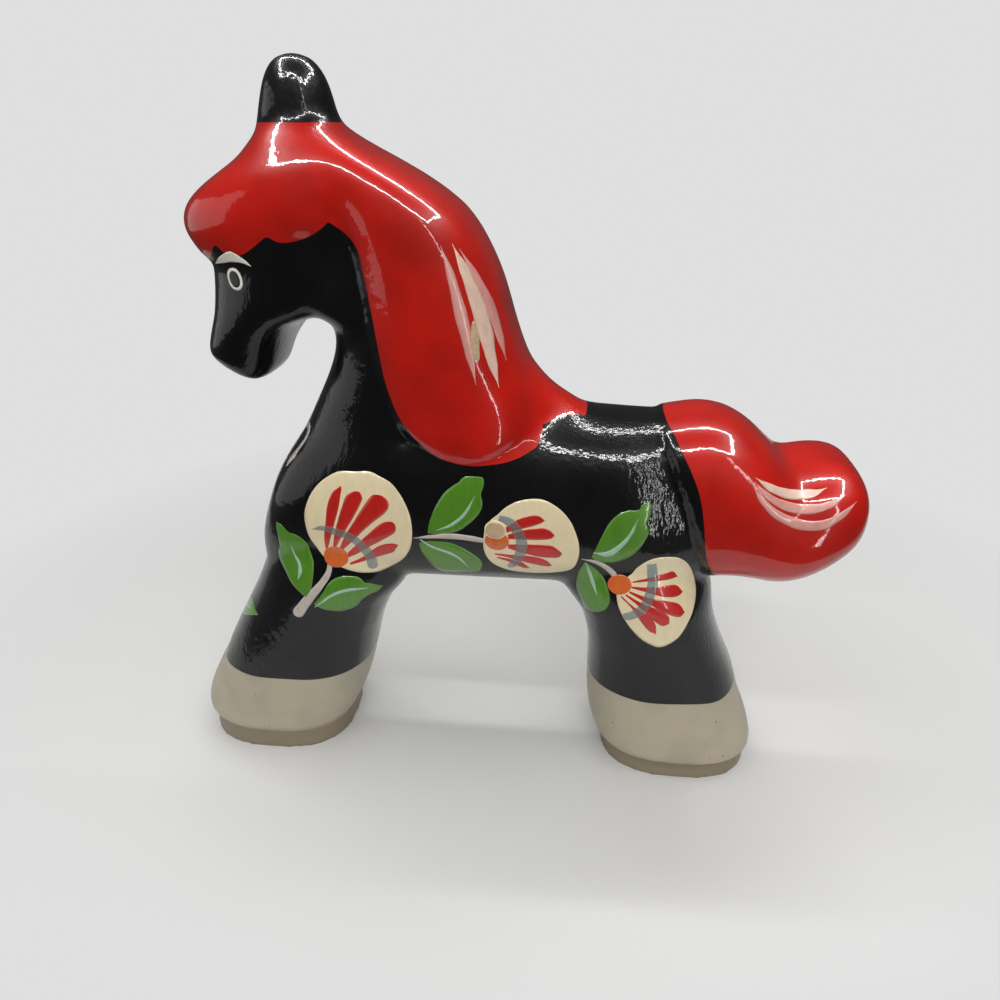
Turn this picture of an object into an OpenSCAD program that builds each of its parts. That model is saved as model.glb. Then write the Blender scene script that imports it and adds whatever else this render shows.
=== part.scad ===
// Painted wooden horse figurine: carved limewood blocks, glued and dowelled. Each pair of legs is one block.
// The head points to -X, the left side to -Y and the soles stand on z = 0. All sizes are millimetres.

/* [Trunk] */
// Thickness of the barrel at its widest
barrel_t = 44; // [42:0.5:46]
// Place of the glue face between forequarter and barrel
fore_joint_x = -30; // [-31:0.5:-29]
// Place of the glue face between barrel and hindquarter
hind_joint_x = 14; // [13:0.5:15]

/* [Legs] */
// Thickness across a pair of legs, which is carved as one block
leg_t = 42; // [40:0.5:43]

/* [Neck and head] */
// Thickness of the neck
neck_t = 35; // [33:0.5:36]
// Thickness of the head across the cheeks
head_t = 33; // [31:0.5:34]

/* [Hair and ear] */
// Thickness across both halves of the mane
mane_t = 43; // [42:0.5:45]
// Thickness of the forelock cap
forelock_t = 39; // [38:0.5:41]
// Thickness of the tail
tail_t = 42; // [40:0.5:43]
// Diameter of the ear knob at its foot
ear_d = 20; // [18:0.5:22]
// Height of the ear knob above its foot
ear_h = 16; // [14:0.5:17]

/* [Dowels] */
// Diameter of the trunk dowels
trunk_dowel_d = 10; // [8:0.5:10]
// Length of the trunk dowels
trunk_dowel_l = 36; // [30:1:38]
// Diameter of the neck, forelock and tail dowels
dowel_d = 8; // [6:0.5:8]
// Diameter of the head dowels
head_dowel_d = 6; // [5:0.5:6]
// Diameter of the pins that join the halves of the mane
pin_d = 5; // [4:0.5:6]
// Length of the pins that join the halves of the mane
pin_l = 26; // [20:0.5:28]

/* [Hidden] */
$fn = 48;

black = [0.09, 0.09, 0.10];
red = [0.72, 0.10, 0.08];
limewood = [0.85, 0.74, 0.56];

// Fineness of the carved forms: points round a section, and sections between two stations
sides = 28;
steps = 2;
// Half the side of the blocks that trim a form to its glue face
trim = 300;

// Roundness of the sections: 2 is an ellipse, more is fuller at the corners
trunk_round = 2.5;
leg_round = 2.6;
neck_round = 2.4;
head_round = 2.6;
hair_round = 2.8;

// Stations of the trunk from chest to rump: x, lowest z, highest z, share of the barrel's thickness
trunk_stations = [
    [-70, 62.5, 70.5, 0.30], [-69.2, 60.5, 76.5, 0.56], [-65.6, 59.5, 86.5, 0.74], [-60.6, 59, 96.5, 0.86],
    [-50, 59, 107.5, 0.93], [-30, 59.5, 113.5, 0.98], [-8, 60, 112.5, 1.00], [14, 60.5, 109.5, 1.00],
    [30, 60.5, 108.3, 0.98], [44, 61.5, 108.7, 0.93], [56, 64, 110, 0.87], [68, 66, 108.5, 0.80]
];
// Stations of the front legs from foot to shoulder: z, front x, back x, share of the legs' thickness
front_leg_stations = [
    [0, -97.1, -51.1, 0.95], [6.8, -96, -51.1, 0.93], [7.6, -97.2, -50.2, 0.98],
    [10.5, -98, -48.7, 1.02], [14.5, -97.2, -46.7, 1.02], [20.5, -94.1, -44.9, 1.02],
    [28.5, -89.9, -42.8, 1.01], [40.5, -83.5, -39.6, 0.98], [52.5, -76.7, -33.9, 0.98],
    [60.5, -72.9, -27, 1.00], [68.5, -69.8, -25, 0.96], [80.5, -66, -26, 0.80]
];
// Stations of the hind legs from foot to thigh, in the same order
hind_leg_stations = [
    [0, 28.6, 73.7, 0.92], [5.4, 28.9, 73.1, 0.90], [6.2, 27.7, 74.2, 0.96], [8.5, 26.2, 74.4, 1.00],
    [14.5, 24.2, 72.5, 1.00], [20.5, 23.6, 69.8, 0.98], [29.5, 23.3, 67, 0.95],
    [40.5, 22.8, 61.9, 0.95], [52.5, 19.6, 57.8, 0.97], [60.5, 14.1, 56.8, 1.00], [68.5, 11, 54, 0.96],
    [80.5, 12, 50, 0.80]
];
// Stations of the neck from the seat to the poll: z, front x, back x, share of the neck's thickness
neck_stations = [
    [94.5, -62, -2, 1.00], [102.5, -56.5, -5, 1.00], [109.5, -52.8, -9, 1.00], [117.5, -48.3, -14, 0.98],
    [124.4, -45.3, -17.3, 0.96], [129.4, -44.7, -18.8, 0.94], [132.2, -46.2, -19.7, 0.93],
    [133.8, -51, -20.2, 0.93], [139.5, -56, -22, 0.92], [148.5, -56, -26, 0.88], [162.5, -58, -32, 0.84]
];
// Stations of the head from the muzzle to the poll, in the same order
head_stations = [
    [116.3, -65.5, -61.2, 0.56], [117.2, -68.4, -60.8, 0.69], [119, -72, -60.6, 0.79],
    [121.4, -75.6, -60, 0.85], [123.6, -77.6, -59, 0.88], [126.5, -77.2, -57.2, 0.91],
    [130, -76, -54.2, 0.94], [132, -75.4, -50.5, 0.96], [133.7, -75, -45, 0.98],
    [139, -74.2, -38, 1.00], [147.5, -73.1, -32, 1.00], [160.5, -69.6, -30, 0.95]
];
// Stations of the mane from its lowest lock to the poll: z, x where it meets the neck, x of the crest
mane_stations = [
    [98, -15, -5, 0.88], [100.5, -19.5, 1.5, 0.95], [104.5, -24, 6, 0.99], [108, -27, 8, 0.99],
    [110.5, -28.5, 8.5, 0.98], [114.5, -29.5, 7.5, 0.97], [121.5, -31, 3.8, 0.97], [130.5, -32, 0.5, 0.97],
    [140.5, -33, -2.4, 0.95], [149.5, -34.5, -6.4, 0.92], [157.5, -38, -12, 0.89],
    [164.5, -44, -22, 0.82], [170.5, -50, -33.4, 0.68], [174.5, -52, -40, 0.46]
];
// Stations of the mane's narrow tip on the back: z, front x, back x, share of the mane's thickness
mane_tip_stations = [
    [104.5, -14, 6, 0.40], [108, -14, 13, 0.44], [110.5, -14, 19, 0.44], [114.5, -15, 11, 0.54],
    [121.5, -16, 4, 0.62], [128, -18, 0, 0.60]
];
// Stations of the forelock from its tip to the ear: z, front x, back x, share of its thickness
forelock_stations = [
    [146, -74, -69, 0.40], [147.5, -74.6, -64, 0.70], [150, -76.2, -54, 0.88],
    [153.5, -78.6, -36, 0.98], [158.5, -77.4, -30, 1.00], [163.5, -71.5, -30, 0.96],
    [168.5, -63.5, -32, 0.84], [172.5, -60, -36, 0.68], [175.5, -57, -41, 0.48]
];
// Stations of the tail from the rump to its end: x, lowest z, highest z, share of its thickness
tail_stations = [
    [26, 58.5, 105.8, 0.90], [38, 61, 108.5, 0.94], [48, 63.5, 110.5, 0.97], [56, 65.5, 109.2, 0.98],
    [63, 65.8, 104.9, 1.00], [69, 65.2, 99.4, 1.00], [72.5, 65.5, 97.6, 1.00], [76, 66.5, 98.3, 1.00],
    [81, 69.3, 99.2, 0.97], [86.5, 74.2, 98.4, 0.89], [89.5, 79, 95.2, 0.76], [91, 83.5, 91.3, 0.44]
];

// Middle of the figure between the tip of the front hooves and the end of the tail
middle_x = (front_leg_stations[3][1] + tail_stations[len(tail_stations) - 1][0]) / 2;
// Share of a hair section's half length that is left at the neck's side, where the mane's edge shows
mane_edge = 0.74;

// The neck's seat is a plane that rises from the chest to the withers
seat_x = -60;
seat_z = 98.5;
seat_tilt = 8.5;
// The glue face between neck and head rises from the throat
throat_x = -48;
throat_z = 131.5;
throat_tilt = 20;
// The head and the neck are cut flat under the forelock and the mane
poll_z = 156.5;
// The forelock meets the mane at this face
forelock_joint_x = -40;
// The tail's glue face leans back along the rump
tail_x = 36.5;
tail_z = 112.5;
tail_tilt = 21;

// Dowel places, as distances along their glue face, and dowel lengths
trunk_dowel_z = 82.5;
trunk_dowel_y = 10.5;
neck_dowel_s = [22, 38];
neck_dowel_l = 32;
head_dowel_s = [12, 21.5];
head_dowel_l = 24;
tail_dowel_s = [18, 38];
tail_dowel_l = 34;
forelock_dowel_x = -62;
forelock_dowel_l = 20;
pin_places = [[-8, 125.5], [-17, 150.5]];
ear_x = -50;
ear_foot_z = 173.5;
ear_tenon_d = 9;
ear_tenon_l = 14;

// Forms swept through stations

function spow(v, e) = sign(v) * pow(abs(v), e);
function at(rows, i) = rows[max(0, min(len(rows) - 1, i))];
function blend(a, b, c, d, u) =
    (2 * b + (c - a) * u + (2 * a - 5 * b + 4 * c - d) * u * u + (3 * b - a - 3 * c + d) * u * u * u) / 2;
function smooth_rows(rows) = [
    for (i = [0:len(rows) - 2], j = [0:steps - 1])
        blend(at(rows, i - 1), at(rows, i), at(rows, i + 1), at(rows, i + 2), j / steps),
    rows[len(rows) - 1]
];
// A level section between two x, or an upright one between two z
function level_ring(z, lo, hi, t, n) = [
    for (i = [0:sides - 1])
        let (a = 360 * i / sides)
        [(lo + hi) / 2 + (hi - lo) / 2 * spow(cos(a), 2 / n), t / 2 * spow(sin(a), 2 / n), z]
];
function upright_ring(x, lo, hi, t, n) = [
    for (p = level_ring(x, lo, hi, t, n)) [p.z, p.y, p.x]
];

// The knob narrows like a cone and closes in a dome: h runs from 0 at its foot to 1 at its top
function ear_radius(h) = ear_d / 2 * (1 - 0.38 * h) * sqrt(1 - pow(h, 6));

module loft(rings, flip = false) {
    last = len(rings) - 1;
    walls = [
        for (i = [0:last - 1], j = [0:sides - 1], half = [0, 1])
            let (k = (j + 1) % sides, a = i * sides, b = a + sides)
            half == 0 ? [a + j, b + j, b + k] : [a + j, b + k, a + k]
    ];
    foot = [for (j = [0:sides - 1]) j];
    top = [for (j = [sides - 1:-1:0]) last * sides + j];
    faces = concat(walls, [foot, top]);
    polyhedron(
        points = [for (r = rings, p = r) p],
        faces = flip ? [for (f = faces) [for (i = [len(f) - 1:-1:0]) f[i]]] : faces
    );
}

module level_loft(stations, t, n) {
    loft([for (s = smooth_rows(stations)) level_ring(s[0], s[1], s[2], s[3] * t, n)]);
}

module upright_loft(stations, t, n) {
    loft([for (s = smooth_rows(stations)) upright_ring(s[0], s[1], s[2], s[3] * t, n)], flip = true);
}

// One block carved out of forms that run into each other
module carved() {
    resize([0, 0, 0]) children();
}

// Trimming blocks, each on one side of a glue face

module ahead_of(x) {
    translate([x - 2 * trim, -trim, -trim]) cube(2 * trim);
}

module behind(x) {
    translate([x, -trim, -trim]) cube(2 * trim);
}

module above_seat() {
    translate([seat_x, 0, seat_z]) rotate([0, -seat_tilt, 0]) translate([-trim, -trim, 0]) cube(2 * trim);
}

module head_side() {
    translate([throat_x, 0, throat_z]) rotate([0, throat_tilt, 0])
        translate([-2 * trim, -trim, -trim]) cube(2 * trim);
}

module tail_side() {
    translate([tail_x, 0, tail_z]) rotate([0, -tail_tilt, 0]) translate([0, -trim, -trim]) cube(2 * trim);
}

module above(z) {
    translate([-trim, -trim, z]) cube(2 * trim);
}

// Whole forms before they are cut into blocks

module trunk_form() {
    difference() {
        upright_loft(trunk_stations, barrel_t, trunk_round);
        above_seat();
        tail_side();
    }
}

module whole_neck() {
    difference() {
        level_loft(neck_stations, neck_t, neck_round);
        above(poll_z);
    }
}

module neck_form() {
    difference() {
        intersection() {
            whole_neck();
            above_seat();
        }
        head_side();
    }
}

module head_form() {
    difference() {
        intersection() {
            level_loft(head_stations, head_t, head_round);
            head_side();
        }
        above(poll_z);
    }
}

module mane_form() {
    reach = 1 + mane_edge;
    rows = [for (s = mane_stations) [s[0], s[2] - 2 * (s[2] - s[1]) / reach, s[2], s[3]]];
    difference() {
        union() {
            level_loft(rows, mane_t, hair_round);
            level_loft(mane_tip_stations, mane_t, neck_round);
        }
        ahead_of(forelock_joint_x);
        trunk_form();
        whole_neck();
        head_form();
    }
}

// Dowels, each set drawn once for the piece and once for its bores

module fore_dowels_set() {
    for (y = [-trunk_dowel_y, trunk_dowel_y])
        translate([fore_joint_x - trunk_dowel_l / 2, y, trunk_dowel_z]) rotate([0, 90, 0])
            cylinder(d = trunk_dowel_d, h = trunk_dowel_l);
}

module hind_dowels_set() {
    for (y = [-trunk_dowel_y, trunk_dowel_y])
        translate([hind_joint_x - trunk_dowel_l / 2, y, trunk_dowel_z]) rotate([0, 90, 0])
            cylinder(d = trunk_dowel_d, h = trunk_dowel_l);
}

module neck_dowels_set() {
    translate([seat_x, 0, seat_z]) rotate([0, -seat_tilt, 0])
        for (s = neck_dowel_s)
            translate([s, 0, -neck_dowel_l / 2]) cylinder(d = dowel_d, h = neck_dowel_l);
}

module head_dowels_set() {
    translate([throat_x, 0, throat_z]) rotate([0, throat_tilt, 0])
        for (s = head_dowel_s)
            translate([-head_dowel_l / 2, 0, s]) rotate([0, 90, 0])
                cylinder(d = head_dowel_d, h = head_dowel_l);
}

module tail_dowels_set() {
    translate([tail_x, 0, tail_z]) rotate([0, -tail_tilt, 0])
        for (s = tail_dowel_s)
            translate([-tail_dowel_l / 2, 0, -s]) rotate([0, 90, 0])
                cylinder(d = dowel_d, h = tail_dowel_l);
}

module forelock_dowel_set() {
    translate([forelock_dowel_x, 0, poll_z - forelock_dowel_l / 2])
        cylinder(d = dowel_d, h = forelock_dowel_l);
}

module mane_pins_set() {
    for (p = pin_places)
        translate([p.x, pin_l / 2, p.y]) rotate([90, 0, 0]) cylinder(d = pin_d, h = pin_l);
}

module ear_tenon() {
    translate([ear_x, 0, ear_foot_z - ear_tenon_l]) cylinder(d = ear_tenon_d, h = ear_tenon_l);
}

// Puts the origin under the middle of the figure
module centred() {
    translate([-middle_x, 0, 0]) children();
}

// Pieces

module forequarter() {
    color(black) difference() {
        carved() intersection() {
            union() {
                trunk_form();
                level_loft(front_leg_stations, leg_t, leg_round);
            }
            ahead_of(fore_joint_x);
        }
        fore_dowels_set();
        neck_dowels_set();
    }
}

module barrel() {
    color(black) difference() {
        carved() intersection() {
            trunk_form();
            behind(fore_joint_x);
            ahead_of(hind_joint_x);
        }
        fore_dowels_set();
        hind_dowels_set();
        neck_dowels_set();
    }
}

module hindquarter() {
    color(black) difference() {
        carved() intersection() {
            union() {
                trunk_form();
                level_loft(hind_leg_stations, leg_t, leg_round);
            }
            behind(hind_joint_x);
        }
        hind_dowels_set();
        tail_dowels_set();
    }
}

module neck() {
    color(black) difference() {
        carved() neck_form();
        neck_dowels_set();
        head_dowels_set();
    }
}

module head() {
    color(black) difference() {
        carved() head_form();
        head_dowels_set();
        forelock_dowel_set();
    }
}

module mane_half(side) {
    color(red) difference() {
        carved() intersection() {
            mane_form();
            translate([-trim, side < 0 ? -2 * trim : 0, -trim]) cube(2 * trim);
        }
        mane_pins_set();
    }
}

module mane_left() {
    mane_half(-1);
}

module mane_right() {
    mane_half(1);
}

module forelock() {
    color(red) difference() {
        carved() difference() {
            intersection() {
                level_loft(forelock_stations, forelock_t, hair_round);
                ahead_of(forelock_joint_x);
            }
            head_form();
            whole_neck();
        }
        translate([ear_x, 0, ear_foot_z]) cylinder(d = ear_d, h = ear_h);
        ear_tenon();
        forelock_dowel_set();
    }
}

module ear_knob() {
    arc_points = 16;
    color(black) {
        translate([ear_x, 0, ear_foot_z]) rotate_extrude() polygon(concat(
            [[0, 0]],
            [for (i = [0:arc_points]) let (h = i / arc_points) [ear_radius(h), h * ear_h]]
        ));
        ear_tenon();
    }
}

module tail() {
    color(red) difference() {
        carved() intersection() {
            upright_loft(tail_stations, tail_t, hair_round);
            tail_side();
        }
        tail_dowels_set();
    }
}

module fore_dowels() {
    color(limewood) fore_dowels_set();
}

module hind_dowels() {
    color(limewood) hind_dowels_set();
}

module neck_dowels() {
    color(limewood) neck_dowels_set();
}

module head_dowels() {
    color(limewood) head_dowels_set();
}

module forelock_dowel() {
    color(limewood) forelock_dowel_set();
}

module tail_dowels() {
    color(limewood) tail_dowels_set();
}

module mane_pins() {
    color(limewood) mane_pins_set();
}

centred() forequarter();
centred() barrel();
centred() hindquarter();
centred() neck();
centred() head();
centred() mane_left();
centred() mane_right();
centred() forelock();
centred() ear_knob();
centred() tail();
centred() fore_dowels();
centred() hind_dowels();
centred() neck_dowels();
centred() head_dowels();
centred() forelock_dowel();
centred() tail_dowels();
centred() mane_pins();
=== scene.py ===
"""Painted wooden horse: carved forms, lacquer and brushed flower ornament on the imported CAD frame."""

import bisect
import functools
import itertools
import math
from typing import NamedTuple

import bmesh
import bpy
from bpy.props import FloatProperty, FloatVectorProperty, IntProperty, PointerProperty
from mathutils import Matrix, Vector, noise
from mathutils.bvhtree import BVHTree
from mathutils.interpolate import poly_3d_calc


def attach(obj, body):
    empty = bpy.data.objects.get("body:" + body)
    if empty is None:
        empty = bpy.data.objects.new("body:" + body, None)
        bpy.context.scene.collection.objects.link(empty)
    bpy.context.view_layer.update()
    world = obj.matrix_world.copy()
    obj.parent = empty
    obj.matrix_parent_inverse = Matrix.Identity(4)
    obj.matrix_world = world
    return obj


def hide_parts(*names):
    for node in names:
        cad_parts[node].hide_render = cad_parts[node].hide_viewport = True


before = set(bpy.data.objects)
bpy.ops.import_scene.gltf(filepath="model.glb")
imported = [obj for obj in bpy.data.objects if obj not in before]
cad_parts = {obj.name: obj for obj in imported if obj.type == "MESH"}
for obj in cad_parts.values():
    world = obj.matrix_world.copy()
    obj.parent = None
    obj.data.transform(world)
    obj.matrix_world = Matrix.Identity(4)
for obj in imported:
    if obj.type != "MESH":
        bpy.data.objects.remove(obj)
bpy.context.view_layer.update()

bl_info = {
    "name": "Painted Wooden Horse",
    "version": (1, 0, 0),
    "blender": (4, 5, 0),
    "location": "View3D > Sidebar > Horse",
    "description": "Carves, lacquers and paints a wooden horse figurine on its CAD frame",
    "category": "Object",
}

MM = 0.001
BODY = "root"

# The glued blocks, by the lacquer that they carry
BLACK_BLOCKS = ("forequarter", "barrel", "hindquarter", "neck", "head")
RED_BLOCKS = ("mane_left", "mane_right", "forelock", "tail")
EAR = "ear_knob"
DOWELS = (
    "fore_dowels", "hind_dowels", "neck_dowels", "head_dowels",
    "forelock_dowel", "tail_dowels", "mane_pins",
)

# Glue planes between the blocks, in mm: x, z pairs in the side view
FORE_JOINT_X = -26.5
HIND_JOINT_X = 17.5
NECK_REAR_X = -10.0
SEAT_LINE = ((-118.0, 89.3), (-10.0, 105.45))
THROAT_LINE = ((-90.7, 4.5), (-35.4, 156.5))
FORELOCK_JOINT_X = -36.5
# Height of the hair's cutter in front of the brow, and of the tail's cutter behind the rump
BROW_Z = 145.5
TAIL_FOOT_Z = 45.0
# Reach of the cutters past the horse
FAR = 130.0
TALL = 260.0
# Distance at which vertices count as one
TOUCH = 0.001 * MM

# Sanding: strength of a pass, share left out at the firm places and share kept at the soles
PASS_STRENGTH = 0.5
FIRMNESS = 0.9
SOLE_EASING = 0.4
# Where the ramps beside a border, above the soles and around a place start, as shares of their reach
BORDER_START, SOLE_START, PLACE_START = 0.25, 0.6, 0.45
# Height taken off the soles, and the band above it that is stretched to make up for it
FLAT_SOLE = 0.35 * MM
SOLE_BAND = 3 * FLAT_SOLE
SOLE_STRETCH = 1.5
# The hoof line's wander: how many times its own height it reaches up and down, and its changes per metre
HOOF_WAVE_REACH = 4
HOOF_WAVE_RATE = 70.0
# Places of a block's materials
SKIN, GLUED, HOOF = range(3)

# Camera and floor, in metres but for the sensor: the floor is round
SENSOR_MM = 36.0
NEAREST = 0.005
FLOOR_SIDES = 96
FLOOR_MIDDLE = (0.0, 0.20, 0.0)
FLOOR_REACH = 0.31
# Where the floor fades into the background: middle, and the distances where that starts and ends
FLOOR_FADES = (((0.0, 0.03, 0.0), 0.12, 0.25), (FLOOR_MIDDLE, 0.82 * FLOOR_REACH, 0.98 * FLOOR_REACH))
# Lamps, in metres: place and size of the strips overhead, then size, place and aim of the others
STRIP_Z, GLOSS_Z = 0.50, 0.501
STRIPS = (
    ("strip_front", (0.02, -0.24), (0.52, 0.022)), ("strip_back", (0.02, 0.16), (0.52, 0.022)),
    ("strip_left", (-0.24, -0.04), (0.022, 0.40)), ("strip_right", (0.28, -0.04), (0.022, 0.40)),
)
HORSE_MIDDLE = (0.0, 0.0, 0.08)
FILL_FRONT = ((0.7, 0.5), (0.10, -0.75, 0.45), HORSE_MIDDLE)
FILL_BACK = ((0.7, 0.5), (-0.10, 0.75, 0.45), HORSE_MIDDLE)
CARD_LEFT = ((0.75, 0.40), (-0.58, -0.16, 0.20), HORSE_MIDDLE)
CARD_RIGHT = ((0.022, 0.9), (0.34, -0.50, 0.25), (0.05, 0.0, 0.25))

# Brush marks, in mm: least width, where flank and chest strokes start, and how far the brush stands off
NARROW = 0.05
FLANK_Y = 20.0
CHEST_X = -60.0
STAND_OFF = 60.0
# Tilt of the brush on mane and tail, in degrees
HAIR_LEAN = -18.0
# Share of the film at a mark's edge and in a thin stroke
EDGE_FILM = 0.2
THIN_FILM = 0.2
# How quickly the hand wavers along a stroke and around a spot
STROKE_RATE, SPOT_RATE = 0.45, 0.9
# Step along a line to find its way, and the least length to divide by
WAY_STEP = 0.02
TINY = 1e-9
# A stroke's ends: only the far one is rounded
ROUND_TIP = (False, True)
# Grid cells along and across each kind of mark
CELLS = {
    "line": (24, 4), "leaf": (44, 10), "disc": (36, 36), "petal": (28, 6), "arc": (150, 12),
    "heart": (14, 14), "eye": (16, 16), "pupil": (14, 14), "brow": (30, 6), "streak": (40, 6),
    "chip": (10, 22), "rim": (14, 14), "knot": (12, 12),
}

# The painted border of forelock and mane, from the brow to the back, in mm in the side view
FORELOCK_EDGE = (
    (-70.0, 146.1), (-66.6, 147.5), (-63.7, 150.5), (-62.0, 149.0), (-59.6, 148.3), (-57.2, 148.7),
    (-53.6, 150.8), (-50.6, 152.7), (-48.6, 151.7), (-46.4, 151.5), (-42.3, 152.4), (-38.7, 154.2),
    (-36.6, 155.9),
)
MANE_EDGE = (
    (-36.6, 155.9), (-33.2, 153.5), (-30.5, 150.2), (-29.3, 144.1), (-28.1, 136.6), (-27.0, 127.9),
    (-25.8, 119.7), (-22.9, 111.4), (-17.8, 105.1), (-12.9, 101.7), (-6.0, 100.1), (0.7, 100.5), (5.3, 101.6),
    (9.1, 103.4), (11.0, 104.8), (11.8, 107.0), (11.8, 108.7),
)
MANE_TIP = ((11.8, 108.7), (13.2, 108.9), (16.4, 109.6), (20.4, 109.5), (22.6, 109.4), (24.0, 116.5))
TAIL_EDGE = (
    (40.0, 122.5), (40.6, 110.5), (42.4, 108.7), (44.2, 106.9), (46.2, 103.7), (48.7, 99.3), (50.9, 94.1),
    (52.5, 87.4), (54.1, 78.8), (55.9, 73.1), (58.0, 70.1), (64.0, 64.0),
)

# Places in the side view: x, z and reach in mm. Where blocks flow into each other without an edge
FLOWING_PLACES = ((-42.0, 102.5, 24.0), (-32.0, 116.5, 16.0), (-55.5, 122.0, 9.0))
# Where the hair's border has no step
OPEN_BORDERS = ((18.0, 108.5, 15.0), (-36.5, 158.0, 9.0), (-56.0, 150.5, 17.0))
# Where the sanding is lighter: ear top and muzzle
FIRM_PLACES = ((-42.0, 189.0, 14.0), (-71.0, 121.0, 20.0))


class Flower(NamedTuple):
    """A flower of the flank, in mm in the side view: disc, heart, petals and the arc across them."""

    disc: tuple
    heart: tuple
    heart_reach: tuple
    petals: tuple
    arc: tuple
    arc_widths: tuple
    lean: float = 0.0


class Leaf(NamedTuple):
    """A leaf, in mm in the side view: its two edges from base to tip, and its light vein with its widths."""

    left: tuple
    right: tuple
    vein: tuple
    vein_widths: tuple
    lean: float = 0.0


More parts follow.
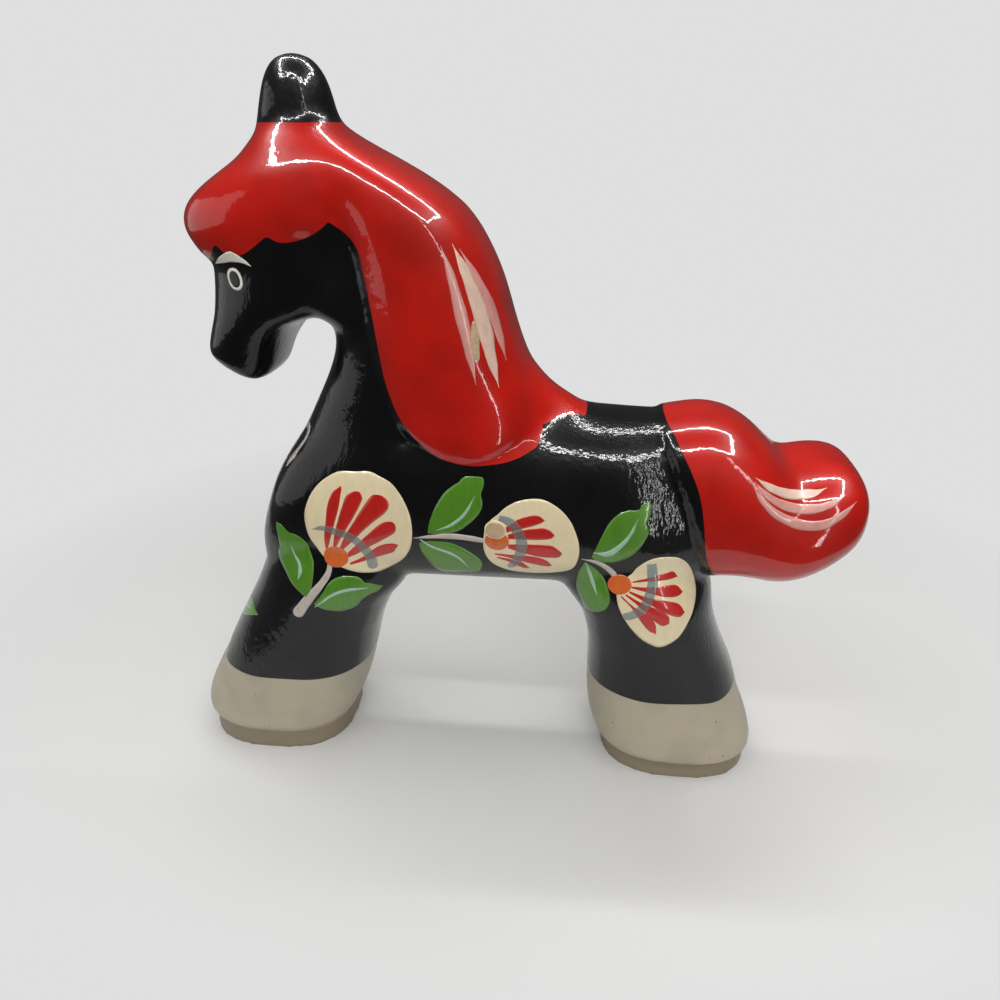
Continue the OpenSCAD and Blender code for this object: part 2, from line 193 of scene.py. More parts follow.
# Each petal: its two edges from foot to tip
FLOWERS = (
    Flower(
        ((-49.5, 84.1), (-48.6, 87.1), (-46.8, 90.5), (-44.6, 93.1), (-41.7, 95.3), (-38.9, 96.6),
         (-34.8, 96.9), (-31.1, 97.2), (-28.2, 96.1), (-25.5, 94.7), (-23.4, 92.1), (-21.9, 89),
         (-20.9, 85.5), (-20.7, 81.2), (-21.4, 76.7), (-23.2, 72.9), (-26.5, 69.3), (-30.7, 66.7),
         (-34.9, 66.6), (-38.2, 67.2), (-40.9, 68.2), (-43.3, 69.4), (-45.8, 71.1), (-47.5, 73.9),
         (-49.1, 77.5), (-49.6, 81.5)),
        (-42.3, 71.5),
        (3.45, 3.2),
        (
            (
                ((-45, 73.7), (-44.8, 77.6), (-43.8, 82.4), (-43.1, 86.3), (-42.3, 88.8), (-41.1, 91.1),
                 (-39.6, 92.3), (-38.9, 92.9)),
                ((-44.4, 73.7), (-42.6, 78.6), (-41.2, 82.7), (-39.9, 86.5), (-39.1, 89.8), (-38.6, 92.2),
                 (-38.9, 92.9)),
            ),
            (
                ((-42.8, 74.8), (-41.6, 79.5), (-40.2, 83.6), (-38.8, 87.4), (-37.7, 90.1), (-36.6, 91.1),
                 (-35.2, 91.8), (-34.4, 91.9)),
                ((-41.9, 74.6), (-40.2, 77.6), (-38.1, 81), (-35.6, 85.1), (-33.8, 88.5), (-33.2, 90.1),
                 (-33.7, 91.6), (-34.4, 91.9)),
            ),
            (
                ((-40.9, 74.5), (-38.7, 79), (-36.6, 82.3), (-34.1, 86.3), (-31.8, 89.7), (-30.4, 91.2),
                 (-28.7, 91.4)),
                ((-40.2, 73.7), (-36.9, 77.1), (-33.7, 80.6), (-30.6, 83.6), (-27.9, 85.9), (-26.6, 87.6),
                 (-26.3, 89.4), (-27.4, 90.9), (-28.7, 91.4)),
            ),
            (
                ((-38.9, 72.9), (-34.9, 77.2), (-32.2, 80), (-29.8, 82.4), (-27.9, 83.7), (-25.9, 84),
                 (-25.2, 83.4)),
                ((-39.1, 71.2), (-36.3, 72.7), (-32.9, 75.3), (-29.4, 77.7), (-26.3, 79.8), (-25.1, 81.1),
                 (-24.9, 82.5), (-25.2, 83.4)),
            ),
            (
                ((-38.6, 69.7), (-35.2, 71.5), (-32.2, 74.2), (-30, 76), (-27.7, 76.9), (-25.8, 77.1),
                 (-24.7, 76.7)),
                ((-38.7, 69), (-36.1, 69.8), (-33.3, 70.8), (-29.8, 72.5), (-26.5, 74), (-25.7, 75.2),
                 (-24.7, 76.7)),
            ),
        ),
        ((-47.9, 79.8), (-44.8, 80.4), (-41.7, 79.7), (-38.7, 78.8), (-36.1, 77.2), (-34.2, 74.7), (-33, 72),
         (-32.6, 67.7)),
        (0.2, 1.6, 2.2, 2.5, 2.7, 2.8, 2.8, 2.8),
    ),
    Flower(
        ((9.5, 93), (13.2, 92.8), (17.1, 90.6), (19.9, 87.3), (21.7, 82.9), (22.4, 78.9), (22, 74.8),
         (20.8, 71.7), (18.4, 70), (14, 68.6), (9.4, 68.2), (5, 68.8), (2, 70.4), (-0.5, 72.9), (-2.1, 77),
         (-2.1, 81.4), (-1.6, 84.5), (-0.2, 86.9), (1.4, 88.4), (3.6, 90.6), (6.3, 92.2)),
        (1.4, 80.7),
        (3.05, 2.8),
        (
            (
                ((3.3, 84.8), (6.9, 87.6), (11.2, 88.9), (13.4, 87.6)),
                ((3.9, 83.5), (6.9, 84.6), (10.2, 85.7), (12.6, 86.8), (13.4, 87.6)),
            ),
            (
                ((4.2, 82.9), (8, 84.5), (12.4, 85.4), (14.6, 84.9), (16, 83.4)),
                ((4.2, 81.5), (8, 81.7), (11.3, 81.7), (14.9, 82.2), (16, 83.4)),
            ),
            (
                ((4.2, 79.8), (8.1, 80.1), (13.6, 80.2), (15.8, 79.9), (18.1, 77.7)),
                ((4.2, 78.4), (8.1, 77.1), (12.5, 76), (17, 76.1), (18.1, 77.7)),
            ),
            (
                ((0.7, 76.4), (4.7, 76.2), (10.3, 76), (13.7, 75), (15.6, 72.8)),
                ((0.7, 75.9), (4.7, 74.9), (10.3, 73), (14.3, 72.2), (15.6, 72.8)),
            ),
            (
                ((1.3, 75.1), (4.7, 74.5), (7.5, 73.7), (9.8, 71)),
                ((1.3, 74.6), (4.6, 73.2), (8, 70.9), (9.8, 71)),
            ),
        ),
        ((1.9, 87.7), (4.7, 86.6), (6.9, 83.4), (7.7, 80.1), (7.1, 76.2), (5.5, 72.6), (4.1, 71)),
        (1.6, 2.5, 2.8, 2.9, 2.8, 2.5, 1.8),
        22,
    ),
    Flower(
        ((36.2, 71.1), (37.6, 73.4), (40.2, 75.7), (43.4, 76.5), (47.9, 75.8), (51.1, 72.6), (53.5, 66.5),
         (54, 63.1), (53.5, 59.1), (51.9, 54.9), (49.9, 51.3), (46.1, 48.6), (43.1, 49.1), (39.4, 51.7),
         (35.5, 57), (33.1, 62.5), (33.1, 67)),
        (33.3, 67.9),
        (3.05, 2.9),
        (
            (
                ((36.6, 69), (41.3, 70.3), (45.7, 71.5), (47.1, 71.3), (48.3, 69.6)),
                ((36.6, 68.6), (41.3, 69.2), (45.9, 69.2), (48.3, 69.6)),
            ),
            (
                ((36.4, 67.6), (40.3, 67.5), (46, 67.7), (48.3, 67.2), (50.1, 65.1)),
                ((36.5, 67.1), (40.5, 66.1), (45.1, 64.7), (48.5, 64.3), (50.1, 65.1)),
            ),
            (
                ((36, 66.3), (40.6, 64.7), (46.3, 63.4), (49.3, 62.1), (51.1, 59.4)),
                ((36, 65.7), (41.3, 62.7), (46.1, 59.8), (49.7, 58.3), (51.1, 59.4)),
            ),
            (
                ((35.2, 65.3), (39, 63.2), (44.3, 60.9), (46.8, 58.8), (47.2, 56.5)),
                ((34.9, 65), (38.5, 62.1), (42.3, 58.2), (45.3, 55.8), (47.2, 56.5)),
            ),
            (
                ((34.1, 64.7), (37.4, 61.7), (41.6, 59.1), (43.6, 56.2), (44.1, 52.9)),
                ((33.8, 64.4), (36.9, 61.2), (40.1, 56.4), (42.1, 53.9), (44.1, 52.9)),
            ),
        ),
        ((41, 74.6), (41.6, 70.9), (41.7, 68.1), (40.7, 63.1), (38.2, 59.6), (34.9, 57.9)),
        (2.4, 2.6, 2.6, 2.6, 2.6, 2.4),
    ),
)
LEAVES = (
    Leaf(
        ((-52, 58.1), (-53.5, 59.5), (-56, 62.2), (-57.7, 65.2), (-59.2, 67.5), (-59.5, 70.3), (-58.5, 72.7),
         (-58.4, 75.6), (-58.6, 78.7), (-58.4, 80.2)),
        ((-52, 58.1), (-50.5, 60.2), (-49.7, 62.7), (-49.1, 65.8), (-48.8, 69.1), (-49.4, 71.9),
         (-49.9, 74.6), (-51.4, 76.5), (-53.1, 77.5), (-54.9, 77.8), (-56.6, 79.6), (-58.4, 80.2)),
        ((-53.7, 63.6), (-52.9, 66.2), (-53.2, 68.6), (-54.3, 70.8), (-54.8, 73.7)),
        (0.3, 1.2, 0.9, 0.5, 0.1),
    ),
    Leaf(
        ((-49.9, 56), (-47.2, 59.7), (-45.1, 63.1), (-42.9, 65), (-40.4, 65.7), (-37.6, 65.6), (-36, 64.8),
         (-35.1, 63.4), (-33.2, 62.8), (-30.8, 61.4)),
        ((-49.9, 56), (-47.6, 54.5), (-45.2, 53.9), (-42.4, 53.6), (-39.6, 54.4), (-37.7, 55.9),
         (-36.5, 57.5), (-34.3, 59.1), (-32.3, 59.8), (-30.8, 61.4)),
        ((-49.8, 55.1), (-47.6, 56.8), (-44.1, 59.6), (-39.7, 61.3), (-34.6, 61.6)),
        (0.2, 0.6, 0.9, 0.9, 0.1),
    ),
    Leaf(
        ((-16.6, 81.1), (-16.2, 83.7), (-14.9, 87.6), (-13.4, 90.7), (-11.7, 93.2), (-9.5, 95.1), (-8.1, 96),
         (-7.6, 96.8), (-6.5, 97.4), (-5.2, 97.5), (-2.4, 97.4)),
        ((-16.6, 81.1), (-13.8, 81.1), (-10.4, 81.7), (-8.1, 82.6), (-6.4, 84.1), (-4.6, 85.8), (-3.2, 87.7),
         (-2.4, 89.5), (-2.3, 91.3), (-2.7, 92.8), (-2.4, 94), (-2, 95.3), (-2, 96.8), (-2.4, 97.4)),
        ((-14.2, 82.2), (-10.3, 84.1), (-6.8, 87.5), (-4.2, 92.5)),
        (0.2, 0.85, 0.75, 0.1),
    ),
    Leaf(
        ((-19.1, 78.3), (-17, 79.1), (-14.5, 79.2), (-11, 79.1), (-7.7, 77.5), (-5, 75.5), (-3.1, 73.1),
         (-2.8, 71), (-3.3, 68.9), (-4, 67)),
        ((-19.1, 78.3), (-18.8, 75.4), (-17.6, 71.9), (-16, 68.1), (-14, 65.3), (-11.6, 65.5), (-7.3, 66.3),
         (-4, 67)),
        ((-18.7, 79.5), (-15.7, 77.2), (-11.3, 75.3), (-8.5, 73), (-6.5, 69.1)),
        (0.3, 0.8, 0.9, 0.7, 0.1),
        24,
    ),
    Leaf(
        ((25.6, 76.3), (26.7, 79.8), (28.1, 83.8), (29.5, 86.9), (31.5, 89.2), (34.1, 90.3), (36.2, 90.2),
         (37.4, 91.8), (38.7, 92.3)),
        ((25.6, 76.3), (27, 75.2), (29.2, 74.6), (32.5, 75.1), (35.1, 76.8), (37.1, 78.9), (38.5, 81.5),
         (39.4, 84.1), (39.2, 85.4), (38.5, 86.9), (39.1, 87.5), (39.5, 90.1), (39.5, 91.3), (38.7, 92.3)),
        ((26, 77.8), (29.6, 77.5), (32.2, 79.7), (34.6, 83.1), (36.4, 87.9)),
        (0.3, 1.9, 1.2, 0.8, 0.1),
    ),
    Leaf(
        ((24, 74.7), (22.5, 70.2), (22.2, 64.2), (23.5, 60.6), (24.9, 57.1), (26.6, 56.7)),
        ((24, 74.7), (26.6, 72.5), (29, 69.6), (30.3, 66.7), (31.1, 63.6), (30.7, 60.6), (29.4, 58.6),
         (26.6, 56.7)),
        ((24.3, 74.3), (25.3, 71), (26.3, 67.8), (27.7, 63.8)),
        (0.2, 0.9, 0.9, 0.1),
    ),
)
# Stems: points in mm and widths
STEMS = (
    (((-44.2, 69.4), (-44.9, 66.2), (-47.7, 62.1), (-51.6, 57.3), (-55.9, 51.4)), (1.3, 1.8, 2.3, 2.9, 3.3)),
    (((-20.4, 79.3), (-14.9, 80.2), (-10.4, 80.6), (-6.5, 80.4), (-1.4, 79.7)), (0.2, 1.1, 1.7, 1.7, 1.4)),
    (((23.1, 75.5), (26.5, 74.7), (29.4, 73.0), (32.1, 70.2)), (0.2, 1.1, 1.6, 1.7)),
)
KNOT = ((0.9, 83.4), (2.4, 2.35))
KNOT_RIM = 0.35
# Eye and brow on the side of the face
EYE = ((-60.7, 142.9), (2.05, 2.55), 12.0)
EYE_LINE = 0.66
BROW = (
    (
        (-65.9, 145.9), (-64.4, 147.3), (-62.3, 148.6), (-60.4, 149.3), (-59.3, 148.9), (-57.9, 148),
        (-56.7, 147.1), (-55.8, 146),
    ),
    ((-65.9, 145.9), (-63.2, 146.4), (-61.2, 146.8), (-59.2, 146.8), (-57.6, 146.6), (-55.8, 146)),
)
# Pale strokes on the mane and tail: paint, points and widths
MANE_STREAKS = (
    ("streak_paint", ((-11.3, 152.2), (-9.2, 146), (-7, 137.2), (-5.5, 130.4), (-3.7, 120.8)),
     (0.1, 1.9, 2.8, 2.1, 0.1)),
    ("pale_paint", ((-9, 152.9), (-6.3, 147.2), (-3.6, 140.2), (-1.7, 133.3), (-0.4, 127.5), (1.5, 120.3)),
     (0.1, 2.2, 3.1, 3.3, 2.2, 0.1)),
    ("streak_paint", ((-7.6, 152.1), (-4.6, 147.3), (-1.8, 141.8), (0.5, 135.5), (2.9, 127)),
     (0.1, 1.5, 2.2, 1.6, 0.1)),
)
TAIL_STREAKS = (
    ("pale_paint", ((63.5, 99.9), (67.7, 97.3), (73, 95.7), (78.2, 96.1), (81.6, 97.6)),
     (0.1, 1.9, 2.5, 2.2, 0.1)),
    ("streak_paint", ((63.4, 98.7), (67.7, 94.7), (72.9, 92.5), (77.6, 92.2), (82.3, 93.7), (85.8, 96.1)),
     (0.1, 1.6, 2.4, 2.6, 1.8, 0.1)),
    ("streak_paint",
     ((63, 97.9), (65.7, 94), (70, 90.3), (75.6, 88.1), (80.8, 88.4), (84.9, 91), (88.5, 94.6)),
     (0.1, 1.5, 2.2, 2.7, 2.6, 1.7, 0.1)),
)
# Curl and leaf on the chest, in mm seen from the front: sideways and up
CHEST_CURL = (
    ((4, 101), (5.8, 103.4), (8.2, 104.2), (9.8, 102.6), (10.6, 100.2), (11.4, 98), (12.2, 95.8),
     (12.8, 94.2)),
    (0.2, 1.1, 1.5, 1.3, 1.2, 1.3, 2.2, 0.8),
)
CHEST_LEAF = Leaf(
    ((5.5, 43.5), (7.5, 47.3), (10, 49.6), (12.2, 50.3), (14.5, 49.6), (17, 48.4)),
    ((5.5, 43.5), (8.5, 43.2), (11.2, 44), (13.3, 45.4), (15.2, 46.9), (17, 48.4)),
    ((7, 44.8), (10, 46.6), (13.5, 48)), (0.2, 0.8, 0.1),
)
# A worn place with bare wood on the mane: middle, reach, turn and how ragged it is
MANE_CHIP = ((-3.9, 130.2), (1.0, 4.0), 4.0, 6.0)
SIDES = {-1: "left", 1: "right"}


def length_prop(name, description, default):
    """A length that a user may change."""
    return FloatProperty(name=name, description=description, default=default, unit="LENGTH")


def count_prop(name, description, default):
    """A count that a user may change."""
    return IntProperty(name=name, description=description, default=default, min=0)


def power_prop(name, description, default):
    """A lamp's power that a user may change."""
    return FloatProperty(name=name, description=description, default=default, unit="POWER")


def colour_prop(name, description, default):
    """A colour that a user may change."""
    return FloatVectorProperty(name=name, description=description, default=default, subtype="COLOR")


class HorseForm(bpy.types.PropertyGroup):
    """How the glued blocks are carved into one form."""

    step: length_prop("Carving Step", "Cell size of the carved surface", 0.7 * MM)
    rounding: count_prop("Rounding", "Passes of sanding over the open forms", 70)
    flowing: count_prop("Flowing", "Further passes where neck and trunk flow together", 260)
    easing: count_prop("Easing", "Passes of sanding over everything, borders included", 9)
    crease: length_prop("Crease", "Width beside a hair border that keeps its step", 5.5 * MM)
    rump_dip: FloatProperty(
        name="Rump Dip", description="Share by which the rump is drawn in before the tail", default=0.10
    )
    rump_reach: length_prop("Rump Reach", "Distance from the tail over which the rump is drawn in", 14.0 * MM)
    sole: length_prop("Sole", "Height up to which foot and hoof rim keep their edges", 15.0 * MM)
    hoof_line: length_prop("Hoof Line", "Height of the painted hooves", 28.7 * MM)
    hoof_wave: length_prop("Hoof Wave", "How far the hand-painted hoof line wanders", 1.3 * MM)
    ear_line: length_prop("Ear Line", "Height where the ear knob turns black", 175.5 * MM)


class HorseFinish(bpy.types.PropertyGroup):
    """Colours of lacquer, paint and bare wood."""

    black: colour_prop("Black", "Lacquer of the body", (0.0025, 0.0025, 0.003))
    red: colour_prop("Red", "Lacquer of mane and tail", (0.56, 0.010, 0.004))
    hoof: colour_prop("Hoof", "Paint of the hooves", (0.46, 0.41, 0.30))
    wood: colour_prop("Wood", "Bare limewood", (0.58, 0.41, 0.25))
    # The foot colour is painted shade: a darker brown for the recessed foot under the hoof's rim, where shade
    # falls.
    foot: colour_prop("Foot", "Shaded foot under the hoof's rim", (0.25, 0.20, 0.13))
    cream: colour_prop("Cream", "Flower discs", (0.90, 0.76, 0.48))
    white: colour_prop("White", "Eye rings and brows", (0.86, 0.83, 0.74))
    petal: colour_prop("Petal", "Flower petals", (0.58, 0.010, 0.004))
    heart: colour_prop("Heart", "Flower hearts", (0.74, 0.145, 0.022))
    leaf: colour_prop("Leaf", "Leaves", (0.085, 0.255, 0.012))
    vein: colour_prop("Vein", "Light lines in the leaves", (0.38, 0.60, 0.44))
    arc: colour_prop("Arc", "Grey arcs on the pale discs", (0.30, 0.34, 0.30))
    mauve: colour_prop("Mauve", "Grey arcs where they cross a petal", (0.25, 0.13, 0.12))
    stem: colour_prop("Stem", "Stems and chest strokes", (0.60, 0.53, 0.46))
    streak: colour_prop("Streak", "Pink strokes on mane and tail", (0.70, 0.31, 0.26))
    pale: colour_prop("Pale", "Palest strokes on mane and tail", (0.80, 0.56, 0.44))


class HorseOrnament(bpy.types.PropertyGroup):
    """The brush ornament's paint film."""

    film: length_prop("Film", "Thickness of one coat of brush paint", 0.07 * MM)
    root: length_prop("Root", "Depth of a paint mark under the lacquer", 0.22 * MM)
    waver: FloatProperty(
        name="Waver", description="Unsteadiness of the hand, as a share of a mark's width", default=0.07
    )


class HorseStage(bpy.types.PropertyGroup):
    """Camera, floor and lamps."""

    eye: FloatVectorProperty(
        name="Camera", description="Camera position", subtype="TRANSLATION", unit="LENGTH",
        default=(19.5 * MM, -187.0 * MM, 176.5 * MM)
    )
    pitch: FloatProperty(
        name="Pitch", description="Camera tilt under the horizon", default=math.radians(27.0), unit="ROTATION"
    )
    heading: FloatProperty(
        name="Heading", description="Camera turn towards the head", default=math.radians(6.0), unit="ROTATION"
    )
    lens: FloatProperty(name="Lens", description="Focal length in mm", default=27.04)
    frame_light: power_prop("Frame Light", "Power of each overhead strip", 0.80)
    frame_gloss: power_prop("Frame Gloss", "Power that each strip adds in the lacquer's gloss only", 1.2)
    front_fill: power_prop("Front Fill", "Power of the wide soft lamp in front", 3.0)
    back_fill: power_prop("Back Fill", "Power of the wide soft lamp behind", 1.2)
    card: power_prop("Card", "Power of the grey card that the lacquer mirrors", 0.9)
    streak: power_prop("Streak", "Power of the tall narrow card that the lacquer mirrors", 0.9)
    room: FloatProperty(name="Room", description="Light of the room around", default=0.06)
    backdrop: FloatProperty(name="Backdrop", description="Tone of the plain background", default=0.74)
    floor: colour_prop("Floor", "Pale floor", (0.72, 0.72, 0.71))


def settings(name):
    """One of the four groups of settings on the scene."""
    return getattr(bpy.context.scene, "horse_" + name)


# Meshes and modifiers


def block_copies(names):
    """Merged copies of CAD blocks in one bmesh."""
    bm = bmesh.new()
    for name in names:
        first = len(bm.verts)
        bm.from_mesh(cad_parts[name].data)
        bm.verts.ensure_lookup_table()
        bmesh.ops.remove_doubles(bm, verts=bm.verts[first:], dist=TOUCH)
    return bm


def to_mesh(name, bm):
    """The bmesh as a mesh; the bmesh is freed."""
    mesh = bpy.data.meshes.new(name)
    bm.to_mesh(mesh)
    bm.free()
    return mesh


def with_modifiers(mesh, modifiers, weights=None):
    """The mesh that the modifiers make of this one; weights fill vertex groups by name."""
    scratch = bpy.data.objects.new(mesh.name, mesh)
    bpy.context.scene.collection.objects.link(scratch)
    for name, values in (weights or {}).items():
        group = scratch.vertex_groups.new(name=name)
        for index, weight in enumerate(values):
            if weight > 0.0:
                group.add([index], weight, "REPLACE")
    for kind, values in modifiers:
        modifier = scratch.modifiers.new(kind.title(), kind)
        for key, value in values.items():
            setattr(modifier, key, value)
    graph = bpy.context.evaluated_depsgraph_get()
    made = bpy.data.meshes.new_from_object(scratch.evaluated_get(graph))
    bpy.data.objects.remove(scratch)
    return made


def ease(low, high, value):
    """Smooth step from 0 at low to 1 at high."""
    t = min(1.0, max(0.0, (value - low) / (high - low)))
    return t * t * (3.0 - 2.0 * t)


def flowing(points, steps=6):
    """Points along the smooth curve through these ones."""
    line = [Vector(p) for p in points]
    line = [2 * line[0] - line[1], *line, 2 * line[-1] - line[-2]]
    curve = []
    for a, b, c, d in zip(line, line[1:], line[2:], line[3:]):
        for i in range(steps):
            t = i / steps
            curve.append(0.5 * (2 * b + (c - a) * t + (2 * a - 5 * b + 4 * c - d) * t * t
                                + (3 * b - a - 3 * c + d) * t * t * t))
    return curve + [line[-2]]


def prism(name, outline, far=FAR):
    """A cutter: a side-view outline in mm drawn out from past the left side to far."""
    bm = bmesh.new()
    face = bm.faces.new([bm.verts.new((p[0] * MM, -FAR * MM, p[1] * MM)) for p in outline])
    drawn = bmesh.ops.extrude_face_region(bm, geom=[face])["geom"]
    moved = [v for v in drawn if isinstance(v, bmesh.types.BMVert)]
    bmesh.ops.translate(bm, verts=moved, vec=(0, (far + FAR) * MM, 0))
    bmesh.ops.recalc_face_normals(bm, faces=bm.faces)
    return to_mesh(name, bm)


def upright(x0, x1, z0, z1):
    """An upright rectangle in the side view."""
    return [(x0, z0), (x1, z0), (x1, z1), (x0, z1)]


def cutters():
    """The prisms that part the carved form into its blocks."""
    ear_z = settings("form").ear_line / MM
    hair = [*flowing(FORELOCK_EDGE, steps=4)[:-1], *flowing(MANE_EDGE)[:-1], *flowing(MANE_TIP)]
    outlines = {
        "hair": [(-FAR, BROW_Z), *hair, (MANE_TIP[-1][0], TALL), (-FAR, TALL)],
        "tail": [*flowing(TAIL_EDGE), (FAR, TAIL_FOOT_Z), (FAR, TALL), (TAIL_EDGE[0][0], TALL)],
        "ear": upright(-FAR, 0.0, ear_z, TALL),
        "fore": upright(-FAR, FORE_JOINT_X, -TALL, TALL),
        "hind": upright(HIND_JOINT_X, FAR, -TALL, TALL),
        "seat": [*SEAT_LINE, (NECK_REAR_X, TALL), (SEAT_LINE[0][0], TALL)],
        "throat": [(-FAR, 0.0), *THROAT_LINE, (THROAT_LINE[1][0], TALL), (-FAR, TALL)],
        "lock": upright(-FAR, FORELOCK_JOINT_X, 0.0, TALL),
        "left": upright(-FAR, FAR, -TALL, TALL),
    }
    return {name: prism(name, outline, 0.0 if name == "left" else FAR) for name, outline in outlines.items()}


# Which prisms a block lies inside, and which it lies outside
BLOCK_CUTS = {
    "forequarter": (("fore",), ("seat", "hair")),
    "barrel": ((), ("fore", "hind", "seat", "hair")),
    "hindquarter": (("hind",), ("tail", "hair")),
    "neck": (("seat",), ("throat", "hair")),
    "head": (("seat", "throat"), ("hair",)),
    "mane_left": (("hair", "left"), ("lock", "ear")),
    "mane_right": (("hair",), ("lock", "ear", "left")),
    "forelock": (("hair", "lock"), ("ear",)),
    "ear_knob": (("ear",), ()),
    "tail": (("tail",), ()),
}


def carved_form():
    """The carved form, made by the carving operator."""
    mesh = bpy.data.meshes.get("horse_form")
    if mesh is None:
        raise RuntimeError("carve the horse first")
    return mesh


def tree_of(bm):
    """Ray and distance tests on a bmesh, which is freed."""
    tree = BVHTree.FromBMesh(bm)
    bm.free()
    return tree


@functools.cache
def form_tree():
    """Ray and distance tests on the carved form."""
    bm = bmesh.new()
    bm.from_mesh(carved_form())
    return tree_of(bm)


def cut_block(name, tools):
    """The part of the carved form that is this block, with its glued faces as a second material."""
    inside, outside = BLOCK_CUTS[name]
    mesh = carved_form().copy()
    mesh.name = "painted_" + name
    mesh.materials.clear()
    mesh.materials.append(surface("black_lacquer"))
    helpers, steps = [], []
    for tool, operation in [(t, "INTERSECT") for t in inside] + [(t, "DIFFERENCE") for t in outside]:
        helper = bpy.data.objects.new(tool, tools[tool])
        bpy.context.scene.collection.objects.link(helper)
        helpers.append(helper)
        steps.append(("BOOLEAN", {"operation": operation, "object": helper, "solver": "MANIFOLD",
                                  "material_mode": "TRANSFER"}))
    made = with_modifiers(mesh, steps)
    for helper in helpers:
        bpy.data.objects.remove(helper)
    return made


def show(name, mesh, replaced=()):
    """A finished piece on the horse."""
    piece = bpy.data.objects.new(name, mesh)
    bpy.context.scene.collection.objects.link(piece)
    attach(piece, BODY)
    if replaced:
        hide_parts(*replaced)


# Materials


def surface(name):
    """A material by name, new and empty the first time."""
    material = bpy.data.materials.get(name)
    if material is None:
        material = bpy.data.materials.new(name)
        material.use_nodes = True
    return material


class Coat:
    """Builds one procedural finish on Object coordinates."""

    def __init__(self, name, colour, roughness, coat=0.0, coat_roughness=0.03):
        self.material = surface(name)
        self.nodes = self.material.node_tree.nodes
        self.links = self.material.node_tree.links
        self.nodes.clear()
        self.out = self.nodes.new("ShaderNodeOutputMaterial")
        self.shader = self.nodes.new("ShaderNodeBsdfPrincipled")
        self.links.new(self.shader.outputs["BSDF"], self.out.inputs["Surface"])
        self.shader.inputs["Base Color"].default_value = (*colour, 1.0)
        self.shader.inputs["Roughness"].default_value = roughness
        self.shader.inputs["Coat Weight"].default_value = coat
        self.shader.inputs["Coat Roughness"].default_value = coat_roughness
        self.place = self.nodes.new("ShaderNodeTexCoord").outputs["Object"]
        self.colour = None
        self.height = None

    def cells_of(self, sizes):
        """The place, counted in cells of these sizes."""
        mapping = self.nodes.new("ShaderNodeMapping")
        mapping.inputs["Scale"].default_value = [1.0 / size for size in sizes]
        self.links.new(self.place, mapping.inputs["Vector"])
        return mapping.outputs["Vector"]

    def grain(self, size, detail=2.0, stretch=(1.0, 1.0, 1.0)):
        """Noise with features of this size, drawn out by the stretch."""
        place = self.cells_of([size * s for s in stretch])
        texture = self.nodes.new("ShaderNodeTexNoise")
        texture.inputs["Scale"].default_value = 1.0
        texture.inputs["Detail"].default_value = detail
        self.links.new(place, texture.inputs["Vector"])
        return texture.outputs["Fac"]

    def lower(self, level, blur):
        """1 below this height, 0 above it."""
        parts = self.nodes.new("ShaderNodeSeparateXYZ")
        self.links.new(self.place, parts.inputs["Vector"])
        return self.ramp(parts.outputs["Z"], level + blur, level - blur)

    def spots(self, size, reach):
        """1 in sparse round spots, 0 elsewhere; size is the spacing, reach the spot's share of it."""
        place = self.cells_of([size] * 3)
        cells = self.nodes.new("ShaderNodeTexVoronoi")
        cells.inputs["Scale"].default_value = 1.0
        self.links.new(place, cells.inputs["Vector"])
        return self.ramp(cells.outputs["Distance"], reach, reach * 0.8)

    def ramp(self, value, low, high):
        """The value stretched from low..high to 0..1."""
        scale = self.nodes.new("ShaderNodeMapRange")
        scale.inputs["From Min"].default_value = low
        scale.inputs["From Max"].default_value = high
        self.links.new(value, scale.inputs["Value"])
        return scale.outputs["Result"]

    def tint(self, mask, colour):
        """Lays a colour over what is there, by the mask."""
        mix = self.nodes.new("ShaderNodeMix")
        mix.data_type = "RGBA"
        if self.colour is None:
            mix.inputs["A"].default_value = self.shader.inputs["Base Color"].default_value
        else:
            self.links.new(self.colour, mix.inputs["A"])
        mix.inputs["B"].default_value = (*colour, 1.0)
        self.links.new(mask, mix.inputs["Factor"])
        self.colour = mix.outputs["Result"]
        self.links.new(self.colour, self.shader.inputs["Base Color"])

    def gloss(self, mask, low, high):
        """Roughness from low to high by the mask."""
        scale = self.nodes.new("ShaderNodeMapRange")
        scale.inputs["To Min"].default_value = low
        scale.inputs["To Max"].default_value = high
        self.links.new(mask, scale.inputs["Value"])
        self.links.new(scale.outputs["Result"], self.shader.inputs["Roughness"])

    def relief(self, mask, depth):
        """Raises the surface by the mask, on top of earlier relief; the depth is in metres."""
        bump = self.nodes.new("ShaderNodeBump")
        bump.inputs["Strength"].default_value = 1.0
        bump.inputs["Distance"].default_value = depth
        self.links.new(mask, bump.inputs["Height"])
        if self.height is not None:
            self.links.new(self.height, bump.inputs["Normal"])
        self.height = bump.outputs["Normal"]
        self.links.new(self.height, self.shader.inputs["Normal"])
        self.links.new(self.height, self.shader.inputs["Coat Normal"])


def shade(colour, factor):
    """The colour made darker or lighter."""
    return tuple(min(1.0, c * factor) for c in colour)


def black_lacquer():
    """Deep black lacquer with the wood's fine grain and brush marks in its gloss."""
    finish = settings("finish")
    coat = Coat("black_lacquer", finish.black, roughness=0.34, coat=0.65, coat_roughness=0.06)
    coat.shader.inputs["Specular IOR Level"].default_value = 0.12
    coat.tint(coat.ramp(coat.grain(14 * MM, 3.0), 0.45, 0.75), shade(finish.black, 2.2))
    coat.relief(coat.grain(0.9 * MM, 2.0, (1.5, 1.0, 2.6)), 0.10 * MM)
    coat.relief(coat.grain(5.0 * MM, 2.0), 0.08 * MM)


